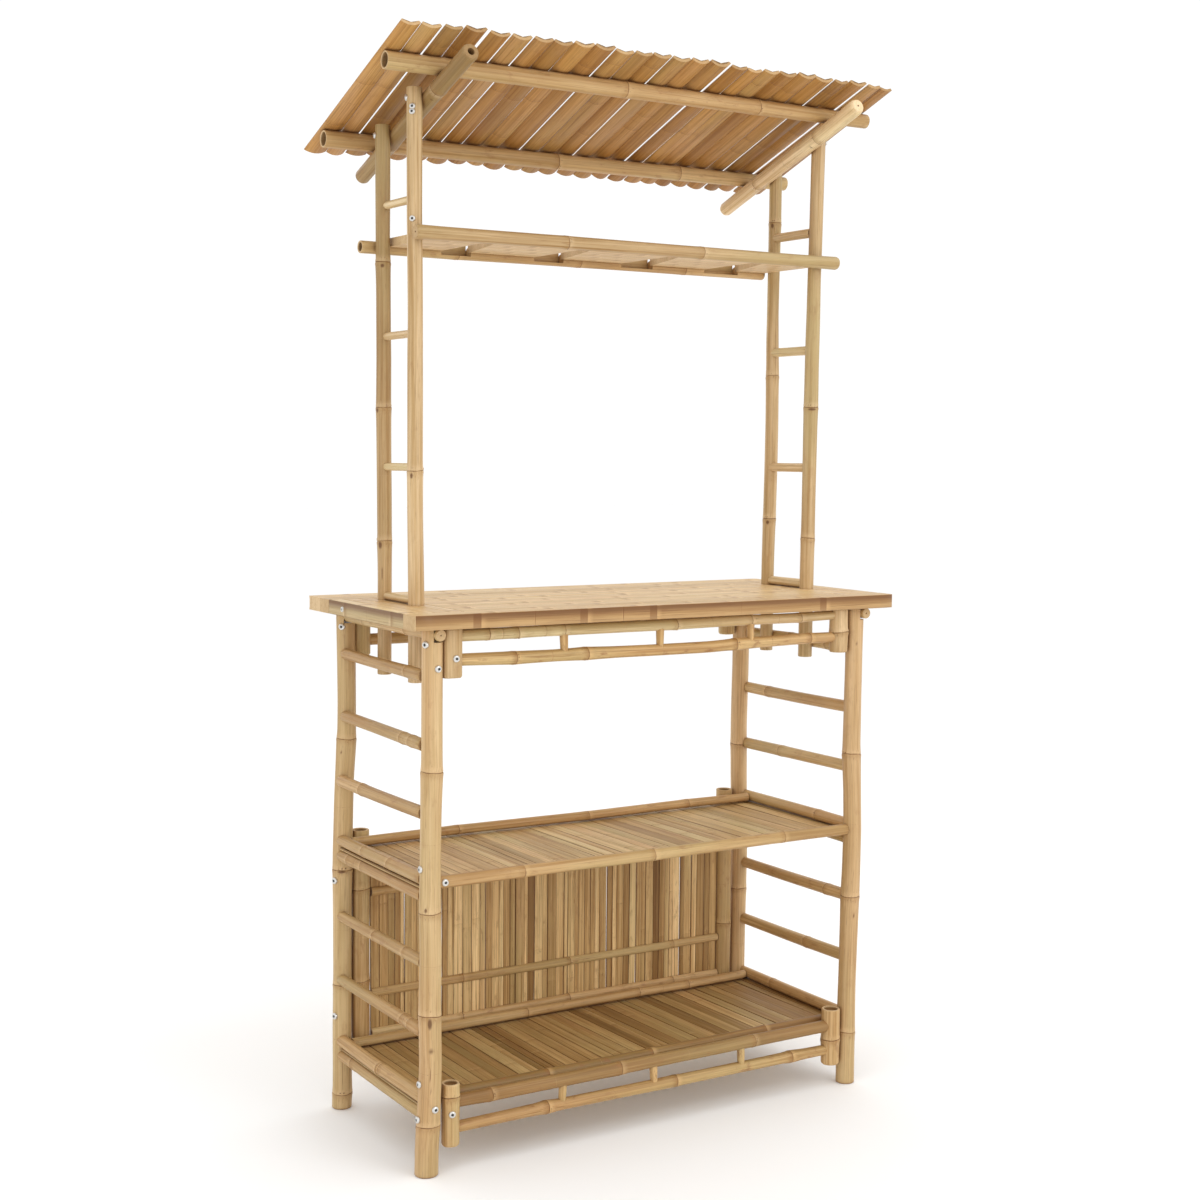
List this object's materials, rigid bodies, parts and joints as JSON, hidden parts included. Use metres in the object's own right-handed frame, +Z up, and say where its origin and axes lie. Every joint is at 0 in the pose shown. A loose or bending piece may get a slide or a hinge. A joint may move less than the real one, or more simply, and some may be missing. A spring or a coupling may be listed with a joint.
{
  "type": "tiki bar hut",
  "caption": "Freestanding bamboo bar: a board counter over slatted shelves, with ladder uprights that carry a slotted glass rack and a sloping split-culm roof.",
  "frame": {"origin": "middle of the footprint of the bounding box, on the floor", "axes": "+Z up, +Y towards the slatted back panel, -Y towards the open shelves, +X to the right seen from the open side"},
  "size_m": [1.0764, 0.4978, 2.0007],
  "materials": {
    "pole": "round bamboo, satin lacquer",
    "board": "laminated bamboo boards, satin lacquer",
    "slat": "flat bamboo slats, matt",
    "split": "split bamboo with its bark side down",
    "bolt": "zinc plated screw heads"
  },
  "bodies": {
    "root": {"leg_front_left": "pole", "leg_back_left": "pole", "leg_front_right": "pole", "leg_back_right": "pole", "end_rung_left_top": "pole", "end_rung_left_upper": "pole", "end_rung_left_bay": "pole", "end_rung_left_middle_over": "pole", "end_rung_left_middle_under": "pole", "end_rung_left_low": "pole", "end_rung_left_lowest": "pole", "end_rung_left_lower_over": "pole", "end_rung_left_lower_under": "pole", "end_rung_right_top": "pole", "end_rung_right_upper": "pole", "end_rung_right_bay": "pole", "end_rung_right_middle_over": "pole", "end_rung_right_middle_under": "pole", "end_rung_right_low": "pole", "end_rung_right_lowest": "pole", "end_rung_right_lower_over": "pole", "end_rung_right_lower_under": "pole", "counter_board_front": "board", "counter_board_back": "board", "counter_end_left": "board", "counter_end_right": "board", "counter_boards_inner": "board", "apron_counter_front_post_left": "pole", "apron_counter_front_post_right": "pole", "apron_counter_front_rail_top": "pole", "apron_counter_front_rail_low": "pole", "apron_counter_back_post_left": "pole", "apron_counter_back_post_right": "pole", "apron_counter_back_rail_top": "pole", "apron_counter_back_rail_low": "pole", "apron_floor_front_post_left": "pole", "apron_floor_front_post_right": "pole", "apron_floor_front_rail_top": "pole", "apron_floor_front_rail_low": "pole", "shelf_deck_middle": "slat", "shelf_deck_lower": "slat", "shelf_rail_middle_front": "pole", "shelf_rail_middle_back": "pole", "shelf_rail_lower_back": "pole", "shelf_strip_lower_front": "pole", "panel_post_left": "pole", "panel_post_right": "pole", "panel_slats": "slat", "panel_rail_top": "pole", "panel_rail_middle": "pole", "panel_rail_bottom": "pole", "ladder_left_upright_front": "pole", "ladder_left_upright_back": "pole", "ladder_right_upright_front": "pole", "ladder_right_upright_back": "pole", "rack_rail_front": "pole", "rack_rail_back_with_boards": "pole", "rafter_left": "pole", "rafter_right": "pole", "roof_slats_on_purlins": "split"}
  },
  "joints": []
}
